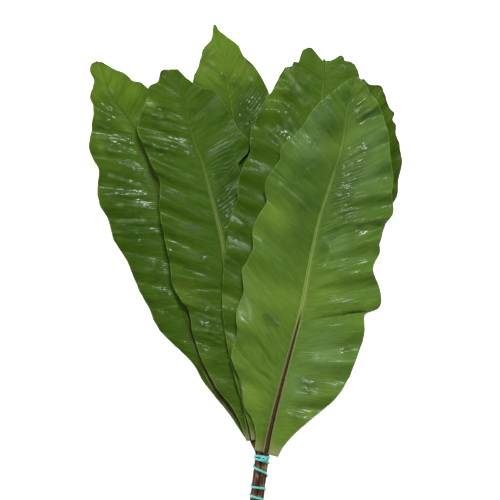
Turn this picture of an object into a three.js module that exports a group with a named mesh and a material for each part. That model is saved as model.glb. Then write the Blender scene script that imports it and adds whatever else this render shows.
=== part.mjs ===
// A tied bunch of six cut bird's nest fern fronds, lying flat on a surface.
// Millimetres. X runs across the bunch, Y from the cut stalks to the tips, Z up from the surface.
// Every blade is a skin between its rib and its two margins, raised into waves, with one thickness.
// A stalk runs from its cut end through the tie and on as the brown rib that fills the slit of its blade.

import * as THREE from "three";

// Driving dimensions
const bladeThickness = 0.9;
const stalkRadius = 2.6;
const stalkPitch = 5.7;
const ribTipRadius = 0.6;
const ribTaperPower = 1.3;
const ribFlatness = 0.85;
const ribSink = 0.8;
const greenRibRadius = 1.3;
const greenRibTaper = 0.6;
const gap = 0.4;
const stringRadius = 1.2;
const bundleRadius = stalkPitch + stalkRadius;
const stringPress = 0.4;
const bundleHeight = bundleRadius + gap + 2 * stringRadius - stringPress;
const tieTop = new THREE.Vector2(20, -217);
const bundleDirection = new THREE.Vector2(-0.122, -0.9925);
const cutLength = 79.4;

// Where the margin's waves fade in at the foot and out at the tip, and how late they rise across the blade
const waveStart = [0.02, 0.16];
const waveEnd = [0.88, 1];
const waveRise = 1.4;

// The edge of the rib stays within this share of the half blade
const widestRibEdge = 0.8;

// From this place on the torn end pulls the blade out of its outline
const tornStart = 0.7;

// Places across a half blade, from the edge of the rib to the margin
const plainPlaces = [0, 0.3, 0.55, 0.8, 1];
const splitPlaces = [0, 0.2, 0.4, 0.6, 0.8, 1];

// Where each stalk lies in the bundle: sideways and upwards, in stalk pitches from its middle
const rowStep = Math.sqrt(3) / 2;

// The fronds, from the surface upwards. Outlines run from the foot of the blade to its tip.
// level: height of the rib. lift: how far each margin stands above the rib, from foot to tip.
// bulge: how early a half blade rises, from 0 for late to 2 for right beside the rib.
// waves: height of the margin's waves and their crests, as places from foot to tip.
const fronds = {
  left: {
    rib: [[7, -196], [-5, -178], [-23, -154], [-43, -124], [-62, -78], [-75, -35], [-88, 24], [-97, 66],
      [-110, 115], [-123, 152], [-139, 186], [-160, 215], [-176, 256]],
    leftMargin: [[2, -199], [-7, -186], [-20, -166], [-37, -145], [-51, -128], [-61, -109], [-81, -88],
      [-104, -65], [-115, -42], [-130, -13], [-142, 16], [-158, 42], [-165, 66], [-175, 85], [-178, 109],
      [-176, 126], [-185, 143], [-188, 156], [-185, 176], [-183, 200], [-187, 216], [-182, 232], [-187, 246],
      [-184, 254], [-178, 257]],
    rightMargin: [[12, -194], [2, -174], [-10, -150], [-25, -114], [-37, -78], [-45, -30], [-49, 18],
      [-53, 60], [-59, 102], [-69, 150], [-85, 192], [-101, 214], [-117, 224], [-125, 231], [-136, 234],
      [-145, 242], [-158, 248], [-173, 256]],
    lead: 0.05,
    level: [6.9, 4.2, 3, 1.4, -0.3, 5],
    lift: { left: [1, 8, 10, 9, 2], right: [1, 3, 3, 4, 1] },
    bulge: 0.4,
    waves: {
      left: { height: 4, crests: [0.02, 0.1, 0.17, 0.24, 0.31, 0.37, 0.435, 0.525, 0.6, 0.695, 0.755, 0.825,
        0.9, 0.97] },
      right: { height: 1.4, crests: evenCrests(8) },
    },
    brownEnd: 0.3,
    seat: [-0.5, -rowStep],
    cut: 2,
  },
  right: {
    rib: [[29, -174], [47, -138], [69, -90], [89, -36], [106, 18], [121, 72], [130, 126], [137, 174],
      [141, 210], [140, 235]],
    leftMargin: [[23, -172], [37, -138], [53, -90], [60, -30], [63, 18], [71, 72], [82, 132], [94, 174],
      [109, 208], [124, 228], [137, 236]],
    rightMargin: [[35, -176], [65, -150], [99, -104], [125, -50], [143, 4], [160, 36], [167, 58], [176, 83],
      [182, 96], [184, 116], [188, 138], [185, 156], [181, 170], [181, 181], [177, 187], [179, 194],
      [175, 199], [170, 209], [166, 221], [164, 227], [149, 229], [142, 236]],
    lead: 0.05,
    level: [8, 4.5, 3, 1.2, -0.3, 4],
    lift: { left: [0.5, 3, 3, 3, 1], right: [0.5, 5, 6, 7, 1] },
    bulge: 0.4,
    waves: {
      left: { height: 1.4, crests: evenCrests(8) },
      right: { height: 3, crests: [0, 0.12, 0.24, 0.35, 0.45, 0.53, 0.6, 0.68, 0.76, 0.83, 0.9, 0.97] },
    },
    brownEnd: 0.3,
    seat: [1, 0],
    cut: -3,
  },
  back: {
    rib: [[16, -174], [15, -126], [10, -54], [4, 18], [-3, 90], [-10, 150], [-17, 204], [-27, 256],
      [-37, 301]],
    leftMargin: [[10.5, -174], [-1, -138], [-21, -90], [-34, -30], [-41, 30], [-50, 96], [-58, 162],
      [-64, 210], [-63, 234], [-56, 253], [-51, 270], [-41, 284], [-38.5, 300]],
    rightMargin: [[21.5, -174], [28, -138], [41, -90], [50, -30], [50, 30], [46, 96], [39, 162], [31, 212],
      [22, 232], [10, 252], [-2, 263], [-8, 274], [-22, 286], [-32, 294], [-35.5, 300]],
    lead: 0.06,
    level: [8, 5, 3.5, 2.5, 3, 10],
    lift: { left: [0.5, 2.5, 2.5, 5, 0.5], right: [0.5, 2.5, 3, 5, 0.5] },
    bulge: 1,
    waves: {
      left: { height: 1.8, crests: evenCrests(11) },
      right: { height: 1.8, crests: evenCrests(10) },
    },
    brownEnd: 0.25,
    seat: [0, 0],
    cut: 5,
  },
  second: {
    rib: [[8, -199], [2, -168], [-5, -126], [-13, -78], [-20, -24], [-26, 31], [-33, 64], [-43, 102],
      [-52, 136], [-58, 149], [-67, 180], [-75, 210], [-85, 247]],
    leftMargin: [[1, -199], [-7, -176], [-17, -158], [-32, -139], [-47, -114], [-57, -90], [-63, -70],
      [-69, -41], [-77, -30], [-87, -13], [-91, 16], [-97, 44], [-103, 76], [-103, 97], [-103, 114],
      [-113, 133], [-122, 154], [-130, 176], [-125, 196], [-119, 212], [-116, 226], [-106, 232],
      [-101, 245], [-89, 247]],
    rightMargin: [[14, -199], [20, -162], [25, -114], [25, -66], [20, -18], [13, 30], [5, 72], [-3, 108],
      [-8, 134], [4, 150], [3, 162], [-8, 175], [-20, 196], [-38, 222], [-50, 224], [-65, 232], [-73, 239],
      [-81, 247]],
    lead: 0.06,
    level: [11.8, 11.6, 12, 11.5, 11, 11],
    lift: { left: [1, 4, 5, 5, 1], right: [0.5, 1, 2, 3.5, 1] },
    bulge: 1.4,
    waves: {
      left: { height: 3.4, crests: [0.05, 0.12, 0.2, 0.265, 0.325, 0.39, 0.45, 0.51, 0.58, 0.66, 0.745, 0.825,
        0.9, 0.97] },
      right: { height: 1.5, crests: [0, 0.13, 0.25, 0.36, 0.46, 0.55, 0.63, 0.72, 0.81, 0.9, 0.98] },
    },
    brownEnd: 0.3,
    seat: [-1, 0],
    cut: -5,
  },
  split: {
    rib: [[16, -198], [20, -150], [27, -102], [39, -42], [52, 20], [64, 78], [76, 138], [87, 186], [93, 220],
      [94, 257]],
    leftMargin: [[7, -198], [3, -178], [-5, -151], [-14, -120], [-20, -92], [-26, -60], [-28, -30], [-27, 1],
      [-23, 35], [-21, 56], [-16, 77], [-10, 88], [-9, 107], [-4, 128], [5, 146], [5, 164], [11, 184],
      [21, 205], [32, 220], [37, 230], [45, 241], [53, 250]],
    rightMargin: [[21, -198], [34, -150], [64, -90], [92, -30], [107, 30], [119, 84], [129, 138], [135, 186],
      [139, 222], [135, 244]],
    lead: 0.05,
    level: [16.6, 16.6, 18.5, 19.5, 19, 17.5],
    lift: { left: [1.5, 4, 5, 4, 1], right: [0.5, 1, 2, 2.5, 1] },
    bulge: 1.6,
    waves: {
      left: { height: 3, crests: [0.04, 0.13, 0.22, 0.3, 0.375, 0.45, 0.52, 0.59, 0.66, 0.75, 0.845, 0.92,
        0.99] },
      right: { height: 1.4, crests: evenCrests(8) },
    },
    brownEnd: 0.3,
    seat: [-0.5, rowStep],
    cut: 0,
    // How far the torn end reaches past the last line across, at places from the left margin to the right
    tornEnd: [[-1, 0], [-0.85, 2], [-0.7, 4], [-0.6, 16], [-0.3, 18], [-0.05, 1], [0.2, 2], [0.5, 10],
      [0.65, 8], [0.75, 4], [1, 0]],
  },
  front: {
    rib: [[24, -214], [33, -173], [43, -133], [58, -77], [69, -35], [76, 5], [89, 67], [104, 114], [115, 151],
      [122, 196], [128, 220], [131, 238]],
    leftMargin: [[11, -210], [12, -192], [8, -172], [-2, -156], [-8, -122], [-17, -98], [-10, -68],
      [-11, -44], [-2, -20], [-4, 5], [10, 31], [8, 50], [20, 84], [25, 107], [41, 136], [59, 167],
      [71, 188], [91, 209], [109, 223], [129, 238]],
    rightMargin: [[39, -218], [47, -204], [61, -188], [80, -172], [106, -149], [122, -126], [134, -97],
      [142, -70], [143, -48], [160, -38], [161, -17], [152, 8], [161, 28], [160, 40], [167, 61], [176, 74],
      [175, 102], [177, 116], [173, 140], [172, 161], [166, 186], [159, 206], [149, 218], [143, 230],
      [135, 237]],
    lead: 0.06,
    level: [17, 21.5, 25, 27, 27, 25],
    lift: { left: [5, 8, 9, 8, 1], right: [3, 9, 11, 9, 1] },
    bulge: 2,
    waves: {
      left: { height: 4, crests: [0.02, 0.1, 0.18, 0.265, 0.345, 0.44, 0.53, 0.61, 0.7, 0.81, 0.885, 0.96] },
      right: { height: 4.6, crests: [0.01, 0.09, 0.165, 0.24, 0.315, 0.39, 0.46, 0.54, 0.6, 0.66, 0.745, 0.83,
        0.9, 0.97] },
    },
    brownEnd: 0.35,
    seat: [0.5, rowStep],
    cut: -1,
  },
};

const bladeGreen = new THREE.MeshStandardMaterial({ color: "#55802f", roughness: 0.4, metalness: 0 });
const stalkBrown = new THREE.MeshStandardMaterial({ color: "#4b2b1a", roughness: 0.5, metalness: 0 });
const stringTurquoise = new THREE.MeshStandardMaterial({ color: "#54cabd", roughness: 0.55, metalness: 0 });

const stationCount = 56;
const tubeSides = 8;
const up = new THREE.Vector3(0, 0, 1);
const smoothstep = THREE.MathUtils.smoothstep;

function evenCrests(count) {
  return Array.from({ length: count + 1 }, (_, i) => i / count);
}

function planCurve(points) {
  return new THREE.CatmullRomCurve3(points.map(([x, y]) => new THREE.Vector3(x, y, 0)));
}

// A smooth value through evenly spaced values, read at a place from 0 to 1
function profile(values, place) {
  const last = values.length - 1;
  const step = Math.min(Math.floor(place * last), last - 1);
  const w = place * last - step;
  const b = values[step];
  const c = values[step + 1];
  const a = step > 0 ? values[step - 1] : 2 * b - c;
  const d = step + 2 <= last ? values[step + 2] : 2 * c - b;
  const slope = (c - a) / 2;
  const nextSlope = (d - b) / 2;
  const bend = 3 * (c - b) - 2 * slope - nextSlope;
  const twist = 2 * (b - c) + slope + nextSlope;
  return b + w * (slope + w * (bend + w * twist));
}

// A value read off straight lines between [place, value] pairs
function polyline(pairs, place) {
  const next = Math.max(1, pairs.findIndex((pair) => pair[0] >= place));
  const [x0, y0] = pairs[next - 1];
  const [x1, y1] = pairs[next];
  return y0 + (y1 - y0) * (place - x0) / (x1 - x0);
}

function ribRadius(frond, t) {
  if (t > frond.brownEnd) {
    return greenRibRadius * (1 - greenRibTaper * t);
  }
  const taper = Math.pow(t / frond.brownEnd, ribTaperPower);
  return stalkRadius + (ribTipRadius - stalkRadius) * taper;
}

// The height of a margin's wave, highest at each crest and lowest midway between two
function marginWave({ height, crests }, t) {
  const passed = crests.filter((crest) => crest <= t).length;
  const next = THREE.MathUtils.clamp(passed, 1, crests.length - 1);
  const turn = (t - crests[next - 1]) / (crests[next] - crests[next - 1]);
  const fade = smoothstep(t, ...waveStart) * (1 - smoothstep(t, ...waveEnd));
  return fade * height * Math.cos(2 * Math.PI * turn);
}

// A point on the middle of the blade: t from foot to tip, across from the rib's edge to the margin
function bladePoint(frond, curves, t, side, across) {
  const rib = curves.rib.getPointAt(t);
  const marginPlace = t + frond.lead * 4 * t * (1 - t);
  const toMargin = curves[side].getPointAt(marginPlace).sub(rib);
  const tangent = curves.rib.getTangentAt(t);
  const offset = Math.abs(toMargin.x * tangent.y - toMargin.y * tangent.x);
  const slitGap = t > frond.brownEnd ? 0 : gap;
  const edge = Math.min((ribRadius(frond, t) + slitGap) / offset, widestRibEdge);
  const reach = edge + (1 - edge) * across;
  const point = rib.clone().addScaledVector(toMargin, reach);
  const arch = across * (frond.bulge + (1 - frond.bulge) * across);
  point.z = profile(frond.level, t) + arch * profile(frond.lift[side], t);
  point.z += Math.pow(across, waveRise) * marginWave(frond.waves[side], t);
  return point.addScaledVector(tangent, tornPull(frond, t, side === "left" ? -reach : reach));
}

// How far the torn end stands out at a place across the whole blade, from -1 to 1
function tornPull(frond, t, place) {
  return frond.tornEnd ? Math.pow(smoothstep(t, tornStart, 1), 2) * polyline(frond.tornEnd, place) : 0;
}

// The rows of points across one blade, from the left margin over the rib to the right margin
function bladeRows(frond, curves) {
  const places = frond.tornEnd ? splitPlaces : plainPlaces;
  const rows = [];
  for (let i = 0; i < stationCount; i += 1) {
    const t = i / (stationCount - 1);
    const left = places.map((across) => bladePoint(frond, curves, t, "left", across)).reverse();
    const right = places.map((across) => bladePoint(frond, curves, t, "right", across));
    const middle = curves.rib.getPointAt(t);
    middle.z = (left[left.length - 1].z + right[0].z) / 2 + ribRadius(frond, t) / 2;
    middle.addScaledVector(curves.rib.getTangentAt(t), tornPull(frond, t, 0));
    rows.push([...left, middle, ...right]);
  }
  return rows;
}

function surfaceNormal(rows, i, j) {
  const alongStart = rows[Math.max(i - 1, 0)][j];
  const alongEnd = rows[Math.min(i + 1, rows.length - 1)][j];
  const acrossStart = rows[i][Math.max(j - 1, 0)];
  const acrossEnd = rows[i][Math.min(j + 1, rows[i].length - 1)];
  const along = alongEnd.clone().sub(alongStart);
  const across = acrossEnd.clone().sub(acrossStart);
  return across.cross(along).normalize();
}

// Gives a sheet of points its thickness, leaving out the cells that isOpen names, and closes every edge
function thickSheet(rows, isOpen) {
  const width = rows[0].length;
  const positions = [];
  rows.forEach((row, i) => row.forEach((point, j) => {
    const normal = surfaceNormal(rows, i, j).multiplyScalar(bladeThickness / 2);
    const top = point.clone().add(normal);
    const bottom = point.clone().sub(normal);
    if (bottom.z < 0) {
      bottom.z = 0;
      top.z = Math.max(top.z, bladeThickness);
    }
    positions.push(top.x, top.y, top.z, bottom.x, bottom.y, bottom.z);
  }));
  const topOf = (i, j) => 2 * (i * width + j);
  const bottomOf = (i, j) => topOf(i, j) + 1;
  const filled = (i, j) => i >= 0 && j >= 0 && i < rows.length - 1 && j < width - 1 && !isOpen(i, j);
  const faces = [];
  const wall = (i0, j0, i1, j1) => {
    faces.push(topOf(i0, j0), bottomOf(i0, j0), bottomOf(i1, j1));
    faces.push(topOf(i0, j0), bottomOf(i1, j1), topOf(i1, j1));
  };
  for (let i = 0; i < rows.length - 1; i += 1) {
    for (let j = 0; j < width - 1; j += 1) {
      if (!filled(i, j)) {
        continue;
      }
      faces.push(topOf(i, j), topOf(i, j + 1), topOf(i + 1, j + 1));
      faces.push(topOf(i, j), topOf(i + 1, j + 1), topOf(i + 1, j));
      faces.push(bottomOf(i, j), bottomOf(i + 1, j + 1), bottomOf(i, j + 1));
      faces.push(bottomOf(i, j), bottomOf(i + 1, j), bottomOf(i + 1, j + 1));
      if (!filled(i - 1, j)) {
        wall(i, j, i, j + 1);
      }
      if (!filled(i, j + 1)) {
        wall(i, j + 1, i + 1, j + 1);
      }
      if (!filled(i + 1, j)) {
        wall(i + 1, j + 1, i + 1, j);
      }
      if (!filled(i, j - 1)) {
        wall(i + 1, j, i, j);
      }
    }
  }
  return closedGeometry(positions, faces);
}

function closedGeometry(positions, faces) {
  const used = new Map();
  const kept = [];
  const index = faces.map((vertex) => {
    if (!used.has(vertex)) {
      used.set(vertex, used.size);
      kept.push(...positions.slice(3 * vertex, 3 * vertex + 3));
    }
    return used.get(vertex);
  });
  const geometry = new THREE.BufferGeometry();
  geometry.setAttribute("position", new THREE.Float32BufferAttribute(kept, 3));
  geometry.setIndex(index);
  geometry.computeVertexNormals();
  return geometry;
}

// A closed tube through rings, each with a centre, a sideways and an upward half axis
function ringTube(rings) {
  const positions = [];
  for (const { centre, sideways, upward } of rings) {
    for (let k = 0; k < tubeSides; k += 1) {
      const angle = 2 * Math.PI * (k + 0.5) / tubeSides;
      const point = centre.clone().addScaledVector(sideways, Math.cos(angle));
      point.addScaledVector(upward, Math.sin(angle));
      positions.push(point.x, point.y, Math.max(point.z, 0));
    }
  }
  const faces = [];
  for (let i = 0; i < rings.length - 1; i += 1) {
    for (let k = 0; k < tubeSides; k += 1) {
      const here = i * tubeSides + k;
      const next = i * tubeSides + (k + 1) % tubeSides;
      faces.push(here, next + tubeSides, next, here, here + tubeSides, next + tubeSides);
    }
  }
  const lastRing = (rings.length - 1) * tubeSides;
  for (let k = 1; k < tubeSides - 1; k += 1) {
    faces.push(0, k, k + 1);
    faces.push(lastRing, lastRing + k + 1, lastRing + k);
  }
  return closedGeometry(positions, faces);
}

function makeBlade(frond, curves) {
  const rows = bladeRows(frond, curves);
  const middle = (rows[0].length - 1) / 2;
  const slitEnd = Math.ceil(frond.brownEnd * (stationCount - 1));
  const isOpen = (i, j) => i < slitEnd && (j === middle - 1 || j === middle);
  return thickSheet(rows, isOpen);
}

// The middle of a stalk where it lies in the bundle, at a distance from the top of the tie
function bundlePoint(frond, distance) {
  const [sideways, upwards] = frond.seat;
  const place = tieTop.clone().addScaledVector(bundleDirection, distance);
  const right = new THREE.Vector2(-bundleDirection.y, bundleDirection.x);
  place.addScaledVector(right, sideways * stalkPitch);
  return new THREE.Vector3(place.x, place.y, bundleHeight + upwards * stalkPitch);
}

// Distances below the top of the tie at which every stalk lies straight in the bundle
const straightPlaces = [60, 30, 6, -1];

// A stalk that still has this far to go to its blade gets two more rings on the way
const longWay = 30;

function makeStalk(frond, curves) {
  const path = [cutLength + frond.cut, ...straightPlaces].map((distance) => bundlePoint(frond, distance));
  const leaving = path[path.length - 1];
  const foot = curves.rib.getPointAt(0).setZ(profile(frond.level, 0) - ribSink);
  if (Math.hypot(foot.x - leaving.x, foot.y - leaving.y) > longWay) {
    path.push(leaving.clone().lerp(foot, 1 / 3), leaving.clone().lerp(foot, 2 / 3));
  }
  const radii = path.map(() => stalkRadius);
  const slitStations = Math.ceil(frond.brownEnd * (stationCount - 1));
  for (let i = 0; i < slitStations; i += 2) {
    const t = i / (stationCount - 1);
    const radius = ribRadius(frond, t);
    const point = curves.rib.getPointAt(t);
    point.z = profile(frond.level, t) - ribSink * radius / stalkRadius;
    path.push(point);
    radii.push(radius);
  }
  const rings = path.map((centre, i) => {
    const ahead = path[Math.min(i + 1, path.length - 1)].clone().sub(path[Math.max(i - 1, 0)]);
    const sideways = new THREE.Vector3().crossVectors(ahead, up).normalize();
    const upward = new THREE.Vector3().crossVectors(sideways, ahead).normalize();
    const flat = i <= straightPlaces.length ? 1 : ribFlatness;
    return {
      centre,
      sideways: sideways.multiplyScalar(radii[i]),
      upward: upward.multiplyScalar(radii[i] * flat),
    };
  });
  return ringTube(rings);
}

// The string: its distance below the top of the tie at each half turn, at the left and the right by turns
const tieTurns = [0.5, 1, 3.6, 7.5, 13.5, 22.5, 37, 39, 48, 53, 62, 66];
const tieStepsPerTurn = 15;

function makeTie() {
  const halfTurns = tieTurns.length - 1;
  const steps = Math.round(halfTurns * tieStepsPerTurn / 2);
  const radius = bundleRadius + gap + stringRadius;
  const right = new THREE.Vector3(-bundleDirection.y, bundleDirection.x, 0);
  const path = [];
  const outwards = [];
  for (let i = 0; i <= steps; i += 1) {
    const angle = Math.PI * (1 + halfTurns * i / steps);
    const axis = tieTop.clone().addScaledVector(bundleDirection, profile(tieTurns, i / steps));
    const outward = right.clone().multiplyScalar(Math.cos(angle)).addScaledVector(up, -Math.sin(angle));
    path.push(new THREE.Vector3(axis.x, axis.y, bundleHeight).addScaledVector(outward, radius));
    outwards.push(outward);
  }
  const rings = path.map((centre, i) => {
    const ahead = path[Math.min(i + 1, steps)].clone().sub(path[Math.max(i - 1, 0)]);
    const sideways = new THREE.Vector3().crossVectors(ahead, outwards[i]).normalize();
    return {
      centre,
      sideways: sideways.multiplyScalar(stringRadius),
      upward: outwards[i].multiplyScalar(stringRadius),
    };
  });
  return ringTube(rings);
}

function namedMesh(name, geometry, material) {
  const mesh = new THREE.Mesh(geometry, material);
  mesh.name = name;
  return mesh;
}

const bunch = new THREE.Group();
for (const [name, frond] of Object.entries(fronds)) {
  const curves = {
    rib: planCurve(frond.rib),
    left: planCurve(frond.leftMargin),
    right: planCurve(frond.rightMargin),
  };
  bunch.add(namedMesh(`frond_${name}_blade`, makeBlade(frond, curves), bladeGreen));
  bunch.add(namedMesh(`frond_${name}_stalk`, makeStalk(frond, curves), stalkBrown));
}
bunch.add(namedMesh("tie", makeTie(), stringTurquoise));

export default bunch;
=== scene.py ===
# A tied bunch of six cut bird's nest fern fronds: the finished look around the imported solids.
# Metres, as the frame is. Plan points of the fronds are written in millimetres and scaled by MM.
import math

import bpy
import numpy as np
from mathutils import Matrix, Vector


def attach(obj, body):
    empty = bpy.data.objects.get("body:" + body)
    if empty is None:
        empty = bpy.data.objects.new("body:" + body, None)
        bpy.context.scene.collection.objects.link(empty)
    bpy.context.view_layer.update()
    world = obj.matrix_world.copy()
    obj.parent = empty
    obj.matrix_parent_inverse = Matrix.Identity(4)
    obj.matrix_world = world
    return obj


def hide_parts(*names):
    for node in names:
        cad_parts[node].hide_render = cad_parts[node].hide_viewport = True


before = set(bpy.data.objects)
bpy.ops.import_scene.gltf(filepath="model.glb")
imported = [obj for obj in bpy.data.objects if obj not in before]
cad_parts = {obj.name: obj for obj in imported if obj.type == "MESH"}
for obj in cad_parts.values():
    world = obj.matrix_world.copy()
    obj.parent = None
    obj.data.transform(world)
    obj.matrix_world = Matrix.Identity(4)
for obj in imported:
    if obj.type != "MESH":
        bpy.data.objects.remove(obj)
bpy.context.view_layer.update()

MM = 0.001

# Driving dimensions, the same as the solids have
BLADE_THICKNESS = 0.8 * MM
STALK_RADIUS = 2.6 * MM
STALK_PITCH = 5.7 * MM
RIB_TIP_RADIUS = 0.9 * MM
RIB_TAPER_POWER = 1.3
RIB_SINK = 0.8 * MM
GREEN_RIB_RADIUS = 4.0 * MM
GREEN_RIB_TAPER = 0.85
GAP = 0.4 * MM
STRING_RADIUS = 1.2 * MM
BUNDLE_RADIUS = STALK_PITCH + STALK_RADIUS
BUNDLE_HEIGHT = BUNDLE_RADIUS + GAP + 2 * STRING_RADIUS - 0.4 * MM
TIE_TOP = np.array([20, -217, 0]) * MM
BUNDLE_DIRECTION = np.array([-0.122, -0.9925, 0])
BUNDLE_RIGHT = np.array([0.9925, -0.122, 0])
CUT_LENGTH = 79.4 * MM
ROW_STEP = math.sqrt(3) / 2
# The string's distance below the top of the tie at each half turn, in millimetres
TIE_TURNS = [0.5, 1, 3.6, 7.5, 13.5, 22.5, 37, 39, 48, 53, 62, 66]

# Steps of the sheets and tubes
STATIONS = 390
HALF_COLUMNS = 56
RIB_COLUMNS = 6
STALK_SIDES = 20
STALK_STEP = 2
STRING_SIDES = 14
STRING_STEPS = 24

# How finely curves and random forms are worked out
CURVE_SAMPLES = 600
TANGENT_STEP = 0.001
NOISE_CELLS = 64

# The blade's relief, with heights in millimetres. A size with two numbers is along the rib and out from it
WAVE_RISE = 1.5
LONG_FLANK = 0.62
RIPPLE_MEAN, RIPPLE_SPREAD = 0.6, 1.1
PATCH_SIZE = (30 * MM, 25 * MM)
CRINKLE_HEIGHT = 0.14
CRINKLE_SIZE = (3.5 * MM, 9 * MM)
CRINKLED_PATCH, CRINKLED_WET = 0.6, 3
COMB_HEIGHT = 0.5
COMB_STEP = 4.6 * MM
UNEVEN_SIZE = (9 * MM, 14 * MM)
SPECKLE_HEIGHT = 0.38
SPECKLE_SIZE = 3.4 * MM
PUCKER_HEIGHT = 0.36
PUCKER_SIZE = 4.4 * MM
RIDGE_LEAST, RIDGE_STEEPNESS = 0.3, 0.3
HOLLOW_DEPTH = 0.8
FURROW_DEPTH = 0.5
FURROW_WIDTH = 2.5 * MM
RIB_MOST = 0.8
RAGGED = 0.45 * MM
RAGGED_SIZE = 7 * MM
# Where its forms come in and go out, from 0 at the foot to 1 at the tip
WAVES_IN, WAVES_OUT = (0.02, 0.16), (0.88, 1)
RIPPLES_IN, RIPPLES_OUT = (0.04, 0.2), (0.97, 1)
TORN_PART = (0.7, 1)
# Where they rise, from 0 at the rib to 1 at the margin
RIPPLES_RISE, FINE_RISE, PUCKERS_RISE = (0, 0.35), (0, 0.1), (0.5, 1)

# The blade's skin: wet spots, spots of painted sheen, scars, the dry foot and the painted highlight on the
# crests of creases
FILM_WET, FILM_COMBED, PAINTED_SHEEN = 0.31, 0.42, 0.26
SCAR_SIZE = 4 * MM
SCAR_DEPTH = (1 * MM, 3.2 * MM)
DRY_FOOT = (1 * MM, 16 * MM)
BROKEN_SIZE = 6 * MM
NARROW_FOLD = 3
# Side veins are 1.2 mm apart and the string's threads 0.4 mm, but drawn at twice that, so that they show.
# At a scale of 1, a wave texture has 20 bands in 2 pi metres
VEIN_SCALE = 2 * math.pi / 20 / (2.4 * MM)
THREAD_SCALE = 2 * math.pi / 20 / (0.8 * MM)

# The stalk's knotty swellings, the stretched string and its knot
KNOTTY_SIZE = 9 * MM
STRETCHED_WIDTH = 1.4 * MM
STRETCHED_HEIGHT = 0.85 * MM
KNOT_RADIUS, KNOT_CORD_RADIUS = 1.7 * MM, 1.15 * MM
KNOT_DOWN, KNOT_RIGHT = 3 * MM, 2.5 * MM
KNOT_SLANT = math.radians(20)

# The studio
FLOOR_GAP = 0.5 * MM
SENSOR_WIDTH = 36
FRAME_WIDTH = 0.6
CAMERA_HEIGHT = 5.0
LEAF_HEIGHT = 0.012


def crest_places(crests):
    """The places of crests given in thousandths, or of a number of crests that are spread evenly."""
    return np.linspace(0, 1, crests + 1) if isinstance(crests, int) else np.array(crests) / 1000


def ripple_places(ripples):
    """The places of ripples at the rib and at the margin, given in thousandths, or as a number of even
    ripples and how far they are ahead at the margin."""
    if isinstance(ripples, tuple):
        count, lead = ripples
        return crest_places(count), crest_places(count) + lead
    return np.array(ripples).T / 1000


# The fronds, from the surface upwards. Heights, widths, radii and plan points are in millimetres, places run
# from 0 at the foot of the blade to 1 at its tip, and a plain list of numbers is spread evenly over them.
# rib, left, right: the middle line and the margins, by plan points from foot to tip
# lead: how far the margins' places are ahead of the rib's, halfway up the blade
# level: height of the rib. lift: how far each margin stands above the rib
# bulge: how a half blade rises from the rib, early above 1 and late below 1
# wave: height of each margin's waves, and their crests as crest_places reads them
# brown_end: where the brown rib ends. seat: the stalk's place in the bundle. cut: how much longer it is cut
# ripples: the finer folds along the side veins, as ripple_places reads them. ripple: their height
# folds: single creases, by their height, half width and plan points
# tone: how light the green is, partly its own tone and partly painted shade where the frond lies under
# others. rib_line: how much the rib stands out. rib_pale: how pale it is
# bloom: how dull and pale the skin is, partly a waxy bloom, partly painted sheen. film: how wet it is
# combs, painted_sheen, pale, deep, scars, wet: round spots, by plan place and radius, with fine ridges
# side by side, painted sheen, a lighter green, painted shade as a deeper green, a dried brown margin and
# more wet
# torn_end: how far the torn tip reaches, from the left margin, -1, to the right, 1
FRONDS = {}
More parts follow.
